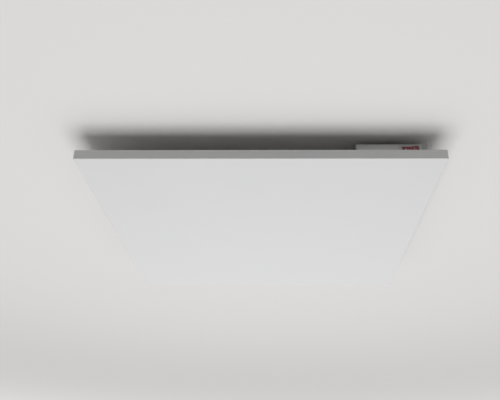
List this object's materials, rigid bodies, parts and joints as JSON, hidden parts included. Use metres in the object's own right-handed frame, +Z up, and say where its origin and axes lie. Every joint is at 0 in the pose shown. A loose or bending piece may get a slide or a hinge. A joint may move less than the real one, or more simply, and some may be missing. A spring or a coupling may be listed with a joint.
{
  "type": "infrared panel heater",
  "caption": "Square white infrared panel heater that hangs under a ceiling on slotted rails, with a control box and a red rocker switch on its back.",
  "frame": {"origin": "on the ceiling, midway between the two rails and at the middle of their length", "axes": "+Z up into the ceiling, so the heating face looks along -Z; +X along the rails, towards the end with the control box; +Y from the near side, which has the switch, to the far side"},
  "size_m": [0.6, 0.6, 0.05],
  "materials": {
    "white_face_paint": "fine satin powder coat",
    "white_back_paint": "satin powder coat",
    "zinc_sheet": "zinc plated",
    "zinc_fixings": "zinc plated",
    "box_plastic": "fine texture",
    "plate_film": "satin film",
    "switch_grey": "satin",
    "rocker_red": "gloss",
    "spring_steel": "drawn wire",
    "brass": "bright",
    "silver_contact": "bright",
    "tinned_copper": "tinned",
    "copper": "bright",
    "carbon_track": "printed film",
    "glass_fibre_sheet": "woven sheet",
    "foil": "bright foil",
    "insulation": "pressed fibre",
    "cutout_phenolic": "moulded",
    "cutout_aluminium": "spun",
    "pad_silicone": "foam",
    "block_polyamide": "moulded",
    "gland_polyamide": "moulded",
    "seal_rubber": "matte",
    "lead_brown": "satin",
    "lead_blue": "satin",
    "lead_green": "satin"
  },
  "bodies": {
    "rails": {"near_ceiling_rail": "zinc_sheet", "far_ceiling_rail": "zinc_sheet"},
    "panel": {"front_tray": "white_face_paint", "back_cover": "white_back_paint", "near_hanger_bar": "zinc_sheet", "far_hanger_bar": "zinc_sheet", "hanger_studs": "zinc_fixings", "near_lock_bracket": "zinc_sheet", "far_lock_bracket": "zinc_sheet", "lock_screws": "zinc_fixings", "box_cover": "box_plastic", "switch_housing": "switch_grey", "gland_body": "gland_polyamide", "gland_cap_nut": "gland_polyamide", "cover_screws": "zinc_fixings", "bar_rivets": "zinc_fixings", "box_screws": "zinc_fixings", "blank_plate": "plate_film", "lock_nuts": "zinc_fixings", "carrier_sheet": "glass_fibre_sheet", "heating_strips": "carbon_track", "busbars": "copper", "busbar_tabs": "tinned_copper", "element_cover_sheet": "glass_fibre_sheet", "reflector_foil": "foil", "insulation_board": "insulation", "box_base": "box_plastic", "base_screws": "zinc_fixings", "switch_tabs": "brass", "terminal_block": "block_polyamide", "terminal_inserts": "brass", "terminal_screws": "zinc_fixings", "gland_seal": "seal_rubber", "gland_locknut": "gland_polyamide", "earth_stud": "zinc_fixings", "earth_spacer": "brass", "earth_ring": "tinned_copper", "earth_nut_and_washer": "zinc_fixings", "pressing_pads": "pad_silicone", "spade_receptacles": "tinned_copper", "switch_feed_lead": "lead_brown", "switched_line_lead": "lead_brown", "neutral_lead": "lead_blue", "cutout_link_lead": "lead_brown", "line_busbar_lead": "lead_brown", "earth_lead": "lead_green", "lead_grommet": "seal_rubber", "stud_nuts": "zinc_fixings", "left_cutout_cap": "cutout_aluminium", "left_cutout_body": "cutout_phenolic", "left_cutout_tabs": "tinned_copper", "right_cutout_cap": "cutout_aluminium", "right_cutout_body": "cutout_phenolic", "right_cutout_tabs": "tinned_copper"},
    "rocker": {"switch_rocker": "rocker_red", "rocker_plunger": "brass", "plunger_spring": "spring_steel"},
    "contact": {"contact_blade": "brass", "moving_contact": "silver_contact"}
  },
  "joints": [
    {"name": "panel_slide", "type": "slide", "parent": "rails", "child": "panel", "axis": [1, 0, 0], "range_m": [0, 0.018]},
    {"name": "rocker_tilt", "type": "hinge", "parent": "panel", "child": "rocker", "pos_m": [0.2458, -0.279, -0.0212], "axis": [0, 0, 1], "range_deg": [0, 24]},
    {"name": "blade_tilt", "type": "hinge", "parent": "panel", "child": "contact", "pos_m": [0.2458, -0.262, -0.0212], "axis": [0, 0, 1], "range_deg": [-10, 0]}
  ],
  "couplings": [
    {"joint": "blade_tilt", "follows": "rocker_tilt", "ratio": -0.41666}
  ]
}
